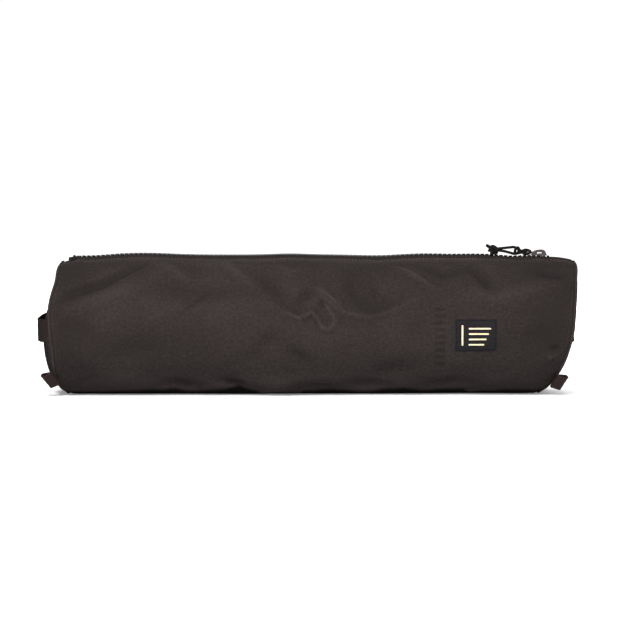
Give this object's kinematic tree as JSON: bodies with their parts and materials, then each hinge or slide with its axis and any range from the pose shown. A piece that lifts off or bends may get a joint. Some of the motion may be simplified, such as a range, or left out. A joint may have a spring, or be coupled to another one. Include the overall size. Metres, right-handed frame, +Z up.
{
  "type": "zip-top stow bag",
  "caption": "Dark fabric tube bag with domed round ends, a full-length zip on top with a corded puller, webbing grab handles on the ends and low lash loops.",
  "frame": {"origin": "on the ground under the middle of the bag", "axes": "+X along the bag to its right end as seen from the front, where the zip slider is parked; the front, with the label, faces -Y; +Z is up"},
  "size_m": [0.541, 0.1488, 0.1481],
  "materials": {
    "fabric": "dark charcoal plain-weave polyester, softly sheened",
    "lining": "seam binding tape",
    "webbing": "ribbed woven webbing",
    "zip_tape": "woven zip tape",
    "zip_plastic": "moulded black",
    "slider_metal": "satin gunmetal with worn edges",
    "cord": "braided black cord",
    "label": "woven damask label"
  },
  "bodies": {
    "shell": {"body_panel": "fabric", "left_end_panel": "fabric", "right_end_panel": "fabric", "left_seam_binding": "lining", "right_seam_binding": "lining", "zip_bottom_stop": "zip_plastic", "front_top_stop": "zip_plastic", "back_top_stop": "zip_plastic", "left_zip_tab": "fabric", "right_zip_tab": "fabric", "left_handle": "webbing", "right_handle": "webbing", "label_patch": "label"},
    "front_lip": {"front_lip_panel": "fabric", "front_zip_tape": "zip_tape", "front_zip_teeth": "zip_plastic"},
    "back_lip": {"back_lip_panel": "fabric", "back_zip_tape": "zip_tape", "back_zip_teeth": "zip_plastic"},
    "slider": {"slider_body": "slider_metal", "slider_bridge": "slider_metal", "slider_lock_pawl": "slider_metal"},
    "puller": {"pull_bail": "slider_metal"},
    "pull_cord": {"pull_cord_hitch": "cord", "pull_cord_upper": "cord", "pull_cord_lower": "cord", "pull_cord_knot": "cord", "pull_cord_tail_upper": "cord", "pull_cord_tail_lower": "cord"},
    "left_loop": {"left_lash_loop": "webbing"},
    "right_loop": {"right_lash_loop": "webbing"}
  },
  "joints": [
    {"name": "slider_travel", "type": "slide", "parent": "shell", "child": "slider", "axis": [-1, 0, 0], "range_m": [0, 0.45]},
    {"name": "front_lip_open", "type": "hinge", "parent": "shell", "child": "front_lip", "pos_m": [0, -0.0644, 0.1], "axis": [1, 0, 0], "range_deg": [0, 40.2], "deforming": ["front_zip_tape", "front_zip_teeth"]},
    {"name": "back_lip_open", "type": "hinge", "parent": "shell", "child": "back_lip", "pos_m": [0, 0.0644, 0.1], "axis": [-1, 0, 0], "range_deg": [0, 40.2], "deforming": ["back_zip_tape", "back_zip_teeth"]},
    {"name": "puller_swing", "type": "hinge", "parent": "slider", "child": "puller", "pos_m": [0.2265, 0, 0.13945], "axis": [0, 1, 0], "range_deg": [0, 105]},
    {"name": "cord_swing", "type": "hinge", "parent": "puller", "child": "pull_cord", "pos_m": [0.21755, 0, 0.14039], "axis": [0, 1, 0], "range_deg": [0, 60]},
    {"name": "left_loop_flex", "type": "hinge", "parent": "shell", "child": "left_loop", "pos_m": [-0.24891, -0.0514, 0.01515], "axis": [0.1596, 0.7289, -0.6658], "range_deg": [-30, 30], "stiffness_Nm_per_rad": 0.002},
    {"name": "right_loop_flex", "type": "hinge", "parent": "shell", "child": "right_loop", "pos_m": [0.24082, -0.0514, 0.01515], "axis": [-0.3076, 0.7025, -0.6417], "range_deg": [-30, 30], "stiffness_Nm_per_rad": 0.002}
  ],
  "couplings": [
    {"joint": "front_lip_open", "follows": "slider_travel", "rad_per_m": 1.5556},
    {"joint": "back_lip_open", "follows": "slider_travel", "rad_per_m": 1.5556}
  ]
}
